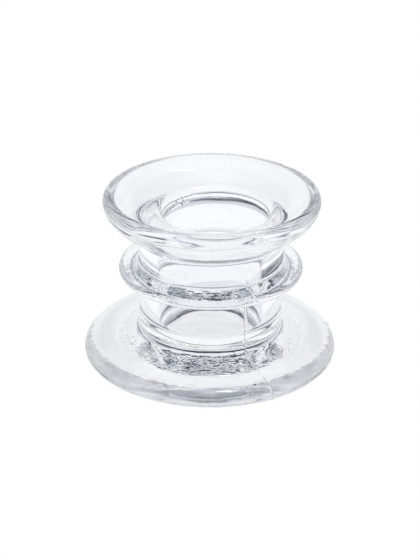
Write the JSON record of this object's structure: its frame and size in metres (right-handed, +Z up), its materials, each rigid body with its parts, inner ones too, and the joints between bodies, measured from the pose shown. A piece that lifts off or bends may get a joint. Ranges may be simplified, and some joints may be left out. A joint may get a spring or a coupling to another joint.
{
  "type": "candle holder",
  "caption": "Small round pressed-glass candle holder: thick disc foot, straight neck with a waist ring, and a flared drip dish around a candle socket.",
  "frame": {"origin": "centre of the ring that the foot stands on, at table height", "axes": "+Z up along the axis of revolution, out of the candle socket; the holder is round about Z, so X and Y are free"},
  "size_m": [0.055, 0.055, 0.0372],
  "materials": {
    "clear_glass": "clear pressed soda-lime glass with a faint blue-grey cast, fire-polished, with shear and chill wrinkles and a two-part mould seam"
  },
  "bodies": {
    "root": {"glass_body": "clear_glass"}
  },
  "joints": []
}
